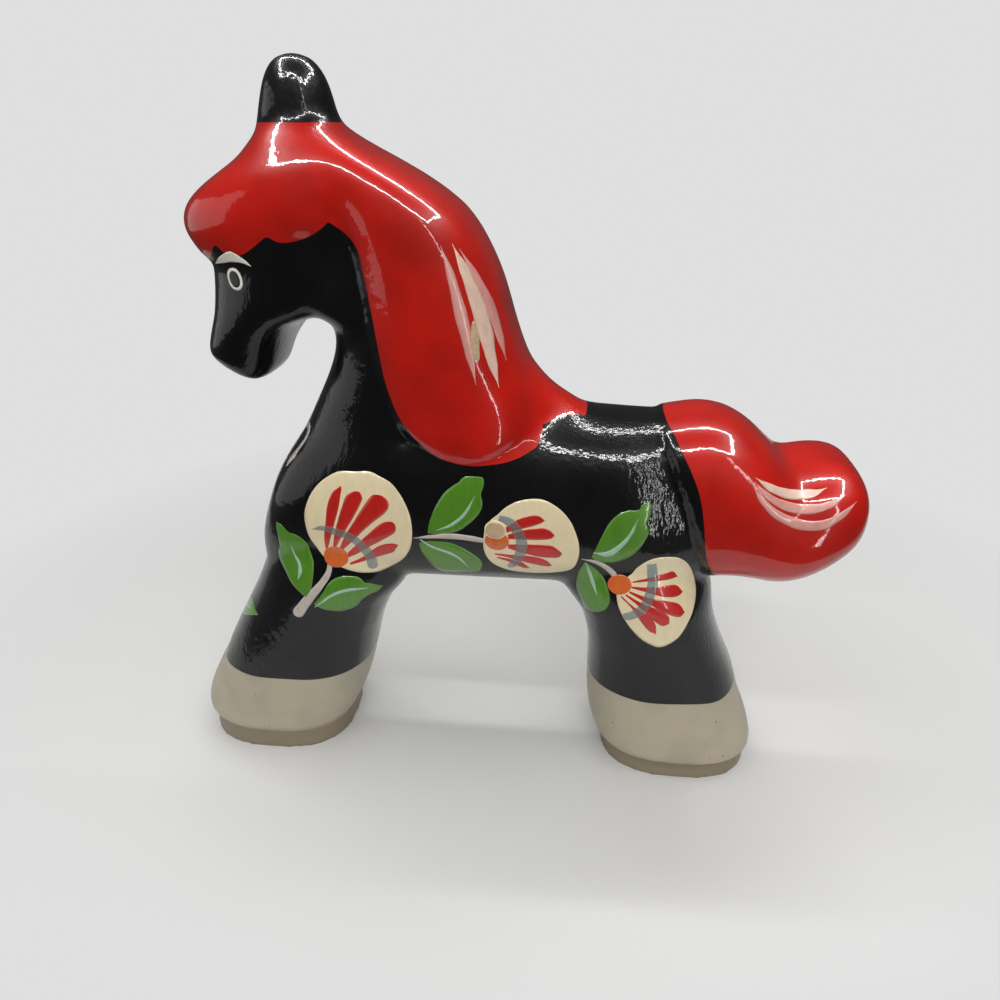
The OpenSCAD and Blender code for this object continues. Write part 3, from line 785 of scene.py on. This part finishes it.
def red_lacquer():
    """Glossy red lacquer, thinner and darker in places, with long soft brush marks."""
    finish = settings("finish")
    coat = Coat("red_lacquer", finish.red, roughness=0.32, coat=0.9, coat_roughness=0.035)
    coat.shader.inputs["Specular IOR Level"].default_value = 0.15
    coat.tint(coat.ramp(coat.grain(16 * MM, 3.0), 0.40, 0.80), shade(finish.red, 0.62))
    coat.relief(coat.grain(0.9 * MM, 2.0, (1.0, 1.0, 1.6)), 0.022 * MM)
    coat.relief(coat.grain(7.0 * MM, 2.0), 0.10 * MM)


def hoof_paint():
    """Warm grey satin paint with small dings and dirt specks, and painted shade in brown on the foot under
    the rim.
    """
    finish = settings("finish")
    coat = Coat("hoof_paint", finish.hoof, roughness=0.42)
    coat.tint(coat.ramp(coat.grain(9 * MM, 4.0), 0.45, 0.80), shade(finish.hoof, 0.80))
    # Painted shade: below 6.4 mm the hoof paint turns dark brown, as shade under the rim's overhang.
    coat.tint(coat.lower(6.4 * MM, 0.5 * MM), finish.foot)
    coat.tint(coat.spots(5.2 * MM, 0.07), shade(finish.hoof, 0.45))
    coat.gloss(coat.grain(3 * MM, 3.0), 0.34, 0.52)
    coat.relief(coat.grain(0.9 * MM, 3.0), 0.020 * MM)
    coat.relief(coat.spots(5.2 * MM, 0.09), -0.06 * MM)


def bare_wood():
    """Pale limewood with close straight grain."""
    finish = settings("finish")
    for name in ("bare_wood", "glued_face"):
        coat = Coat(name, finish.wood, roughness=0.62)
        lines = coat.grain(0.8 * MM, 4.0, (14.0, 1.0, 1.0))
        coat.tint(coat.ramp(lines, 0.35, 0.80), shade(finish.wood, 0.66))
        coat.relief(coat.grain(0.35 * MM, 2.0, (18.0, 1.0, 1.0)), 0.03 * MM)


def brush_paint(name, colour, worn=0.78, roughness=0.36):
    """Glossy brush paint with streaks along the stroke."""
    coat = Coat(name, colour, roughness, coat=0.6, coat_roughness=0.06)
    coat.tint(coat.ramp(coat.grain(1.6 * MM, 4.0, (1.0, 1.0, 2.5)), 0.42, 0.85), shade(colour, worn))
    coat.relief(coat.grain(0.8 * MM, 3.0, (1.8, 1.0, 1.0)), 0.018 * MM)


# Carving


def nearness(places, point):
    """How near a point is to the closest of these places: 1 at its middle, 0 out of its reach."""
    return max(1.0 - ease(PLACE_START * reach, reach, math.hypot(point.x / MM - x, point.z / MM - z))
               for x, z, reach in places)


def carve():
    """One form over all the glued blocks: sanded round, with steps kept at the hair and flat soles."""
    form = settings("form")
    hair = tree_of(block_copies((*RED_BLOCKS, EAR)))
    body = tree_of(block_copies(BLACK_BLOCKS))
    tail = tree_of(block_copies(("tail",)))
    rough = to_mesh("rough_form", block_copies((*BLACK_BLOCKS, *RED_BLOCKS, EAR)))
    cells = with_modifiers(rough, [("REMESH", {"mode": "VOXEL", "voxel_size": form.step})])
    free, flow, even = [], [], []
    for vertex in cells.vertices:
        to_hair, to_body = (tree.find_nearest(vertex.co)[3] for tree in (hair, body))
        border = max(to_hair, to_body)
        border = max(ease(BORDER_START * form.crease, form.crease, border), nearness(OPEN_BORDERS, vertex.co))
        above = ease(SOLE_START * form.sole, form.sole, vertex.co.z)
        free.append(border * above * (1.0 - FIRMNESS * nearness(FIRM_PLACES, vertex.co)))
        flow.append(border * max(nearness(FLOWING_PLACES, vertex.co), nearness(OPEN_BORDERS, vertex.co)))
        even.append(max(SOLE_EASING, above))
        if to_body < to_hair:
            near_tail = 1.0 - ease(0.0, form.rump_reach, tail.find_nearest(vertex.co)[3])
            vertex.co.y *= 1.0 - form.rump_dip * near_tail
    made = with_modifiers(cells, [
        ("SMOOTH", {"factor": PASS_STRENGTH, "iterations": passes, "vertex_group": group})
        for passes, group in ((form.flowing, "flow"), (form.rounding, "free"), (form.easing, "even"))
    ], {"free": free, "flow": flow, "even": even})
    for vertex in made.vertices:
        if vertex.co.z < SOLE_BAND:
            vertex.co.z = max(0.0, SOLE_STRETCH * (vertex.co.z - FLAT_SOLE))
    made.name = "horse_form"
    for mesh in (rough, cells):
        bpy.data.meshes.remove(mesh)


def paint_hooves(bm):
    """Parts the faces at the hoof line, gives those under it the hoof paint and lets the line wander."""
    form = settings("form")
    bmesh.ops.bisect_plane(
        bm, geom=[*bm.verts, *bm.edges, *bm.faces], dist=TOUCH,
        plane_co=(0, 0, form.hoof_line), plane_no=(0, 0, 1))
    for face in bm.faces:
        if face.material_index == SKIN and face.calc_center_median().z < form.hoof_line:
            face.material_index = HOOF
    for vertex in bm.verts:
        reach = 1.0 - ease(0.0, HOOF_WAVE_REACH * form.hoof_wave, abs(vertex.co.z - form.hoof_line))
        if reach > 0.0:
            wave = noise.noise(Vector((vertex.co.x, vertex.co.y, 0)) * HOOF_WAVE_RATE)
            vertex.co.z += reach * form.hoof_wave * wave


def finish_block(name, tools, skin, hooves=False):
    """Cuts one block out of the form and gives it its lacquer, with crisp glued faces."""
    mesh = cut_block(name, tools)
    if not mesh.polygons:
        raise RuntimeError(name + " is empty")
    mesh.materials.clear()
    for material in (skin, "glued_face", "hoof_paint"):
        mesh.materials.append(surface(material))
    bm = bmesh.new()
    bm.from_mesh(mesh)
    for face in bm.faces:
        face.material_index = min(face.material_index, GLUED)
        face.smooth = True
    if hooves:
        paint_hooves(bm)
    for edge in bm.edges:
        kinds = {face.material_index == GLUED for face in edge.link_faces}
        edge.smooth = len(kinds) == 1
    bm.to_mesh(mesh)
    bm.free()
    level_normals(mesh)
    show("painted_" + name, mesh, (name,))


def level_normals(mesh):
    """Gives the lacquer the whole form's normals, so that a glued joint doesn't show in the gloss."""
    form, tree = carved_form(), form_tree()
    outward = {}
    corners = [Vector()] * len(mesh.loops)
    for polygon in mesh.polygons:
        if polygon.material_index == GLUED:
            continue
        for corner in polygon.loop_indices:
            index = mesh.loops[corner].vertex_index
            if index not in outward:
                place, _, face, _ = tree.find_nearest(mesh.vertices[index].co)
                ring = [form.vertices[i] for i in form.polygons[face].vertices]
                shares = poly_3d_calc([v.co for v in ring], place)
                outward[index] = sum((v.normal * s for v, s in zip(ring, shares)), Vector()).normalized()
            corners[corner] = outward[index]
    mesh.normals_split_custom_set(corners)


# Brush ornament


def walk(points):
    """Maps 0..1 to a place on the smooth curve through these points, by its length."""
    line = flowing(points, steps=10)
    reach = list(itertools.accumulate(((b - a).length for a, b in zip(line, line[1:])), initial=0.0))

    def place(share):
        run = min(1.0, max(0.0, share)) * reach[-1]
        i = min(bisect.bisect_right(reach, run), len(line) - 1)
        return line[i - 1].lerp(line[i], (run - reach[i - 1]) / max(TINY, reach[i] - reach[i - 1]))

    return place, reach[-1]


def spread(u):
    """-1..1 along a mark as a share of its length, closer towards the ends."""
    return 0.5 - 0.5 * math.cos(math.pi * (u + 1.0) / 2.0)


def along(path, widths, rounded=(False, False)):
    """A stroke's outline: maps -1..1 along and across to a place and how full the paint is there."""
    line, total = walk(path)

    def place(u, v):
        share = spread(u)
        middle = line(share)
        way = (line(share + WAY_STEP) - line(share - WAY_STEP)).normalized()
        k = share * (len(widths) - 1)
        low = min(int(k), len(widths) - 2)
        width = widths[low] + (widths[low + 1] - widths[low]) * ease(0.0, 1.0, k - low)
        for on, run in ((rounded[0], share), (rounded[1], 1.0 - share)):
            span = 0.5 * max(widths) / total
            if on and run < span:
                width *= math.sqrt(max(0.0, 1.0 - (1.0 - run / span) ** 2))
        unsteady = noise.noise(Vector((middle.x, middle.y, v)) * STROKE_RATE)
        width *= 1.0 + settings("ornament").waver * unsteady
        spot = middle + Vector((-way.y, way.x)) * (0.5 * max(width, NARROW) * v)
        return spot, (1.0 - v ** 4) * min(1.0, width / max(widths) + THIN_FILM)

    return place


def between(left, right):
    """A mark's outline between its edges from foot to tip, in the same terms as a stroke's."""
    (near, _), (far, _) = walk(left), walk(right)

    def place(u, v):
        a, b = near(spread(u)), far(spread(u))
        half = (b - a) / 2
        if half.length < 0.5 * NARROW:
            way = near(spread(u) + WAY_STEP) - near(spread(u) - WAY_STEP)
            half = Vector((way.y, -way.x)).normalized() * 0.5 * NARROW
        return (a + b) / 2 + half * v, (1.0 - v ** 4) * min(1.0, half.length + THIN_FILM)

    return place


def blob(outline):
    """A round mark's outline through these points, in the same terms as a stroke's."""
    middle = sum((Vector(p) for p in outline), Vector((0, 0))) / len(outline)
    steps = 6
    loop = flowing([outline[-1], *outline, *outline[:2]], steps)[steps:-2 * steps - 1]
    ring = sorted((math.atan2(*(p - middle).yx), (p - middle).length) for p in loop)
    ring = [(ring[-1][0] - math.tau, ring[-1][1]), *ring, (ring[0][0] + math.tau, ring[0][1])]

    def place(u, v):
        spot = Vector((u * math.sqrt(1.0 - v * v / 2.0), v * math.sqrt(1.0 - u * u / 2.0)))
        turn = math.atan2(spot.y, spot.x)
        i = bisect.bisect(ring, (turn, 0.0))
        (a, low), (b, high) = ring[i - 1], ring[i]
        reach = low + (high - low) * (turn - a) / max(TINY, b - a)
        return middle + spot * reach, 1.0 - spot.length ** 8

    return place


def inside(spot, ring):
    """Whether a spot lies inside a closed line of points."""
    crossed = [a for a, b in zip(ring, ring[1:] + ring[:1])
               if (a[1] > spot.y) != (b[1] > spot.y)
               and spot.x < a[0] + (spot.y - a[1]) * (b[0] - a[0]) / (b[1] - a[1])]
    return len(crossed) % 2 == 1


def round_spot(middle, reach, turn=0.0, wobble=1.0):
    """A round spot's outline, in the same terms as a stroke's."""
    def place(u, v):
        x, y = u * math.sqrt(1.0 - v * v / 2.0), v * math.sqrt(1.0 - u * u / 2.0)
        unsteady = noise.noise(Vector((middle[0] + x, middle[1] + y, 3.0)) * SPOT_RATE)
        edge = 1.0 + wobble * settings("ornament").waver * unsteady
        spot = Vector((x * reach[0] * edge, y * reach[1] * edge))
        spot.rotate(Matrix.Rotation(math.radians(turn), 2))
        return spot + Vector(middle), 1.0 - (x * x + y * y) ** 4

    return place


class Brush:
    """Lays marks of paint on the carved form. Each mark is a closed film with its root under the lacquer."""

    def __init__(self):
        self.bm = bmesh.new()
        self.out = self.bm.verts.layers.float_vector.new("out")
        self.paints = []
        self.flank(-1)

    def flank(self, side, lean=0.0):
        """Paints on one side, where -1 is the left; lean tips the brush up under the belly, in degrees."""
        lean = math.radians(lean)
        self.start = lambda a, b: Vector((a * MM, side * FLANK_Y * MM, b * MM))
        self.way = Vector((0.0, -side * math.cos(lean), math.sin(lean)))

    def chest(self, side):
        """Paints from the front, on one side of the middle."""
        self.start = lambda a, b: Vector((CHEST_X * MM, side * a * MM, b * MM))
        self.way = Vector((1.0, 0.0, 0.0))

    def paint_index(self, paint):
        """The place of a paint among this piece's materials."""
        if paint not in self.paints:
            self.paints.append(paint)
        return self.paints.index(paint)

    def mark(self, paint, kind, outline, coat=0, crossing=None):
        """One mark; coat counts the coats under it, and crossing gives another paint by place."""
        ornament = settings("ornament")
        long, wide = CELLS[kind]
        verts = bmesh.ops.create_grid(self.bm, x_segments=long, y_segments=wide, size=1.0)["verts"]
        spots = {}
        for vertex in verts:
            spot, full = outline(vertex.co.x, vertex.co.y)
            start = self.start(spot.x, spot.y) - self.way * STAND_OFF * MM
            place, out, _, _ = form_tree().ray_cast(start, self.way)
            if place is None:
                raise RuntimeError(f"{paint} misses the wood at {spot.x:.1f}, {spot.y:.1f}")
            spots[vertex] = spot
            vertex[self.out] = out
            vertex.co = place + out * ornament.film * (coat + EDGE_FILM + (1.0 - EDGE_FILM) * full)
        # In the order of the grid, so that the paints come in the same order each run
        faces = list(dict.fromkeys(face for vertex in verts for face in vertex.link_faces))
        for face in faces:
            laid = paint
            if crossing:
                middle = sum((spots[v] for v in face.verts), Vector((0, 0))) / len(face.verts)
                laid = crossing(middle) or paint
            face.material_index = self.paint_index(laid)
            face.smooth = True
        under = bmesh.ops.extrude_face_region(self.bm, geom=faces)["geom"]
        for vertex in under:
            if isinstance(vertex, bmesh.types.BMVert):
                vertex.co -= vertex[self.out] * (ornament.root + ornament.film * (coat + 1))
        shell = [face for vertex in verts for face in vertex.link_faces]
        shell += [face for face in under if isinstance(face, bmesh.types.BMFace)]
        bmesh.ops.recalc_face_normals(self.bm, faces=list(dict.fromkeys(shell)))

    def stroke(self, paint, kind, path, widths, rounded=(False, False), coat=0, crossing=None):
        """One brush stroke along a path."""
        self.mark(paint, kind, along(path, widths, rounded), coat, crossing)

    def leaf(self, leaf):
        """A leaf with its light vein."""
        self.mark("leaf_paint", "leaf", between(leaf.left, leaf.right))
        self.stroke("vein_paint", "line", leaf.vein, leaf.vein_widths, coat=1)

    def flower(self, flower):
        """A flower: disc, petals, heart and the arc, which turns mauve where it crosses a petal."""
        self.mark("cream_paint", "disc", blob(flower.disc))
        for left, right in flower.petals:
            self.mark("petal_paint", "petal", between(left, right), 1)
        petals = [[*left, *right[::-1]] for left, right in flower.petals]
        self.stroke("arc_paint", "arc", flower.arc, flower.arc_widths, ROUND_TIP, 2,
                    lambda spot: "mauve_paint" if any(inside(spot, petal) for petal in petals) else None)
        self.mark("heart_paint", "heart", round_spot(flower.heart, flower.heart_reach), 3)

    def finish(self, name, slot):
        """The painted marks as one piece."""
        mesh = to_mesh(name, self.bm)
        for paint in self.paints:
            mesh.materials.append(surface(paint))
        show(name, mesh)


# Operators


class HORSE_OT_carve(bpy.types.Operator):
    """Carve the glued blocks into one smooth form"""

    bl_idname = "horse.carve"
    bl_label = "Carve Form"

    def execute(self, context):
        carve()
        return {"FINISHED"}


class HORSE_OT_finishes(bpy.types.Operator):
    """Mix the lacquers, paints and wood"""

    bl_idname = "horse.finishes"
    bl_label = "Mix Finishes"

    def execute(self, context):
        finish = settings("finish")
        black_lacquer()
        red_lacquer()
        hoof_paint()
        bare_wood()
        brush_paint("cream_paint", finish.cream, 0.90)
        brush_paint("white_paint", finish.white, 0.90)
        brush_paint("knot_paint", shade(finish.wood, 1.1), 0.7, 0.5)
        for name in ("petal", "heart", "leaf", "vein", "arc", "mauve", "stem", "streak", "pale"):
            brush_paint(name + "_paint", getattr(finish, name))
        return {"FINISHED"}


class HORSE_OT_body(bpy.types.Operator):
    """Lacquer the trunk, legs, neck, head and ear black"""

    bl_idname = "horse.body"
    bl_label = "Black Body"

    def execute(self, context):
        tools = cutters()
        for name in (*BLACK_BLOCKS, EAR):
            finish_block(name, tools, "black_lacquer", name.endswith("quarter"))
        return {"FINISHED"}


class HORSE_OT_hair(bpy.types.Operator):
    """Lacquer the forelock, mane and tail red"""

    bl_idname = "horse.hair"
    bl_label = "Red Hair"

    def execute(self, context):
        tools = cutters()
        for name in RED_BLOCKS:
            finish_block(name, tools, "red_lacquer")
        return {"FINISHED"}


class HORSE_OT_dowels(bpy.types.Operator):
    """Give the dowels inside their bare wood"""

    bl_idname = "horse.dowels"
    bl_label = "Dowels"

    def execute(self, context):
        for name in DOWELS:
            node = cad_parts[name]
            node.data.materials.clear()
            node.data.materials.append(surface("bare_wood"))
        return {"FINISHED"}


class HORSE_OT_flowers(bpy.types.Operator):
    """Paint the flower spray on both flanks"""

    bl_idname = "horse.flowers"
    bl_label = "Flank Flowers"

    def execute(self, context):
        for side, name in SIDES.items():
            brush = Brush()
            for path, widths in STEMS:
                brush.flank(side)
                brush.stroke("stem_paint", "line", path, widths, ROUND_TIP)
            for leaf in LEAVES:
                brush.flank(side, leaf.lean)
                brush.leaf(leaf)
            for flower in FLOWERS:
                brush.flank(side, flower.lean)
                brush.flower(flower)
            brush.finish("flower_spray_" + name, "black_lacquer")
        return {"FINISHED"}


class HORSE_OT_face(bpy.types.Operator):
    """Paint the eyes and brows"""

    bl_idname = "horse.face"
    bl_label = "Face"

    def execute(self, context):
        for side, name in SIDES.items():
            brush = Brush()
            brush.flank(side)
            middle, reach, turn = EYE
            brush.mark("white_paint", "eye", round_spot(middle, reach, turn))
            pupil = [r - EYE_LINE for r in reach]
            brush.mark("black_lacquer", "pupil", round_spot(middle, pupil, turn), 1)
            brush.mark("white_paint", "brow", between(*BROW))
            brush.finish("eye_and_brow_" + name, "black_lacquer")
        return {"FINISHED"}


class HORSE_OT_strokes(bpy.types.Operator):
    """Paint the pale strokes of mane, tail and chest, with the worn places"""

    bl_idname = "horse.strokes"
    bl_label = "Strokes and Wear"

    def execute(self, context):
        for side, name in SIDES.items():
            mane, tail, chest = Brush(), Brush(), Brush()
            for brush, streaks in ((mane, MANE_STREAKS), (tail, TAIL_STREAKS)):
                brush.flank(side, HAIR_LEAN)
                for paint, path, widths in streaks:
                    brush.stroke(paint, "streak", path, widths)
            mane.finish("mane_strokes_" + name, "red_lacquer")
            tail.finish("tail_strokes_" + name, "red_lacquer")
            chest.chest(side)
            chest.stroke("stem_paint", "line", *CHEST_CURL, ROUND_TIP)
            chest.leaf(CHEST_LEAF)
            chest.finish("chest_curl_" + name, "black_lacquer")
        wear = Brush()
        wear.mark("bare_wood", "chip", round_spot(*MANE_CHIP), 1)
        wear.mark("cream_paint", "rim", round_spot(KNOT[0], [r + KNOT_RIM for r in KNOT[1]]), 4)
        wear.mark("knot_paint", "knot", round_spot(*KNOT), 5)
        wear.finish("worn_places", "bare_wood")
        return {"FINISHED"}


class HORSE_OT_stage(bpy.types.Operator):
    """Set up the camera, floor and lamps"""

    bl_idname = "horse.stage"
    bl_label = "Stage"

    def execute(self, context):
        stage = settings("stage")
        place_camera(stage)
        lay_floor(stage)
        hang_lamps(stage)
        light_room(stage)
        return {"FINISHED"}


# Stage


def place_camera(stage):
    """The camera of the picture, without roll."""
    camera = bpy.data.cameras.new("camera")
    camera.lens = stage.lens
    camera.sensor_width = SENSOR_MM
    camera.clip_start = NEAREST
    viewer = bpy.data.objects.new("camera", camera)
    bpy.context.scene.collection.objects.link(viewer)
    turn = Matrix.Rotation(stage.heading, 4, "Z") @ Matrix.Rotation(math.pi / 2 - stage.pitch, 4, "X")
    viewer.matrix_world = Matrix.Translation(stage.eye) @ turn
    bpy.context.scene.camera = viewer


def lay_floor(stage):
    """A pale round floor that fades into the plain background away from the horse."""
    bm = bmesh.new()
    bmesh.ops.create_circle(bm, cap_ends=True, segments=FLOOR_SIDES, radius=FLOOR_REACH)
    bmesh.ops.translate(bm, verts=bm.verts, vec=FLOOR_MIDDLE)
    mesh = to_mesh("floor", bm)
    floor = bpy.data.objects.new("floor", mesh)
    bpy.context.scene.collection.objects.link(floor)
    coat = Coat("floor_sheet", stage.floor, roughness=0.5)
    coat.tint(coat.ramp(coat.grain(260 * MM, 2.0), 0.3, 0.7), shade(stage.floor, 0.97))
    nodes, links = coat.nodes, coat.links
    fade = nodes.new("ShaderNodeMath")
    fade.operation = "MAXIMUM"
    for socket, middle, low, high in zip(fade.inputs, *zip(*FLOOR_FADES)):
        far = nodes.new("ShaderNodeVectorMath")
        far.operation = "DISTANCE"
        far.inputs[1].default_value = middle
        links.new(coat.place, far.inputs[0])
        links.new(coat.ramp(far.outputs["Value"], low, high), socket)
    seen = nodes.new("ShaderNodeLightPath")
    share = nodes.new("ShaderNodeMath")
    share.operation = "MULTIPLY"
    links.new(fade.outputs["Value"], share.inputs[0])
    links.new(seen.outputs["Is Camera Ray"], share.inputs[1])
    glow = nodes.new("ShaderNodeEmission")
    glow.inputs["Color"].default_value = (*[stage.backdrop] * 3, 1.0)
    mix = nodes.new("ShaderNodeMixShader")
    links.new(share.outputs["Value"], mix.inputs["Fac"])
    links.new(coat.shader.outputs["BSDF"], mix.inputs[1])
    links.new(glow.outputs["Emission"], mix.inputs[2])
    links.new(mix.outputs["Shader"], coat.out.inputs["Surface"])
    mesh.materials.append(coat.material)


def hang_lamp(name, size, place, aim, power, mirrored=True, lights=True):
    """One soft rectangular lamp, which may be left out of the lacquer's gloss or only show there."""
    lamp = bpy.data.lights.new(name, "AREA")
    lamp.shape = "RECTANGLE"
    lamp.size, lamp.size_y = size
    lamp.energy = power
    holder = bpy.data.objects.new(name, lamp)
    holder.visible_glossy = mirrored
    holder.visible_diffuse = lights
    holder.visible_camera = False
    bpy.context.scene.collection.objects.link(holder)
    place, aim = Vector(place), Vector(aim)
    turn = (aim - place).to_track_quat("-Z", "Y").to_matrix().to_4x4()
    holder.matrix_world = Matrix.Translation(place) @ turn


def hang_lamps(stage):
    """A frame of four strips overhead, wide soft fill lamps in front and behind, and cards for the gloss."""
    for name, (x, y), size in STRIPS:
        hang_lamp(name, size, (x, y, STRIP_Z), (x, y, 0.0), stage.frame_light)
        hang_lamp(name + "_gloss", size, (x, y, GLOSS_Z), (x, y, 0.0), stage.frame_gloss, lights=False)
    hang_lamp("fill_front", *FILL_FRONT, stage.front_fill, mirrored=False)
    hang_lamp("fill_back", *FILL_BACK, stage.back_fill, mirrored=False)
    hang_lamp("card_left", *CARD_LEFT, stage.card, lights=False)
    hang_lamp("card_right", *CARD_RIGHT, stage.streak, lights=False)


def light_room(stage):
    """A dim room for the lacquer to mirror, with a plain pale background for the camera."""
    world = bpy.data.worlds.new("room")
    world.use_nodes = True
    nodes, links = world.node_tree.nodes, world.node_tree.links
    back = nodes["Background"]
    back.inputs["Color"].default_value = (1.0, 1.0, 1.0, 1.0)
    seen = nodes.new("ShaderNodeLightPath")
    strength = nodes.new("ShaderNodeMix")
    strength.inputs["A"].default_value = stage.room
    strength.inputs["B"].default_value = stage.backdrop
    links.new(seen.outputs["Is Camera Ray"], strength.inputs["Factor"])
    links.new(strength.outputs["Result"], back.inputs["Strength"])
    bpy.context.scene.world = world
    bpy.context.scene.view_settings.view_transform = "Standard"


class HORSE_PT_sidebar(bpy.types.Panel):
    """Steps and settings of the painted horse"""

    bl_label = "Painted Wooden Horse"
    bl_idname = "HORSE_PT_sidebar"
    bl_space_type = "VIEW_3D"
    bl_region_type = "UI"
    bl_category = "Horse"

    def draw(self, context):
        for step in STEPS:
            self.layout.operator(step.bl_idname)
        for name in GROUPS:
            box = self.layout.box()
            group = settings(name)
            for key in group.__annotations__:
                box.prop(group, key)


GROUPS = {"form": HorseForm, "finish": HorseFinish, "ornament": HorseOrnament, "stage": HorseStage}
STEPS = (
    HORSE_OT_finishes, HORSE_OT_carve, HORSE_OT_body, HORSE_OT_hair, HORSE_OT_dowels, HORSE_OT_flowers,
    HORSE_OT_face, HORSE_OT_strokes, HORSE_OT_stage,
)
CLASSES = (*GROUPS.values(), *STEPS, HORSE_PT_sidebar)


def register():
    for cls in CLASSES:
        bpy.utils.register_class(cls)
    for name, group in GROUPS.items():
        setattr(bpy.types.Scene, "horse_" + name, PointerProperty(type=group))


def unregister():
    for name in GROUPS:
        delattr(bpy.types.Scene, "horse_" + name)
    for cls in reversed(CLASSES):
        bpy.utils.unregister_class(cls)


def main():
    register()
    for step in STEPS:
        family, name = step.bl_idname.split(".")
        getattr(getattr(bpy.ops, family), name)()


if __name__ == "__main__":
    main()
